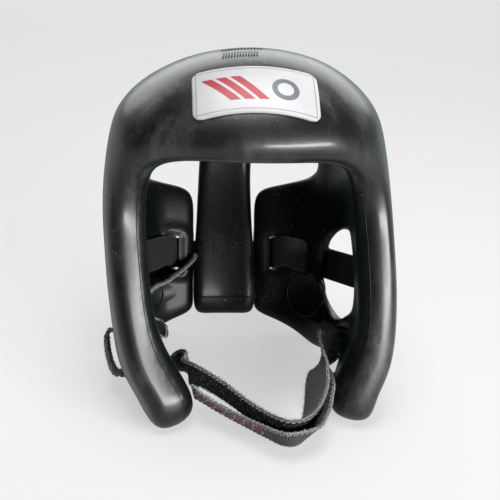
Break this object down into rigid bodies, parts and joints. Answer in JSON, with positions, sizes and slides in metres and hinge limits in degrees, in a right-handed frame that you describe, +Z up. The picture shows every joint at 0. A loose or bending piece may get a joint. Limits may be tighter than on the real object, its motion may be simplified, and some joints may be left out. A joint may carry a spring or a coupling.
{
  "type": "boxing headgear",
  "caption": "Moulded foam boxing headgear with cheek guards, ear holes, rear wings and nape pad, an elastic rear strap and a chin strap with a folded-back elastic end.",
  "frame": {"origin": "on the table, under the middle of the whole headgear as it stands on its cheek tips and rear hem", "axes": "+Z up, the face opening towards -Y, the wearer's left towards +X"},
  "size_m": [0.2136, 0.2398, 0.2473],
  "materials": {
    "shell": "semi-gloss moulded foam skin",
    "rear_strap": "ribbed black elastic",
    "chin_strap": "black loop webbing with grey edges",
    "chin_elastic": "ribbed black elastic",
    "chin_tab": "woven red and white tab",
    "front_label": "white printed label"
  },
  "bodies": {
    "root": {"shell": "shell", "rear_strap": "rear_strap", "chin_strap": "chin_strap", "chin_elastic": "chin_elastic", "chin_tab": "chin_tab", "front_label": "front_label"}
  },
  "joints": []
}
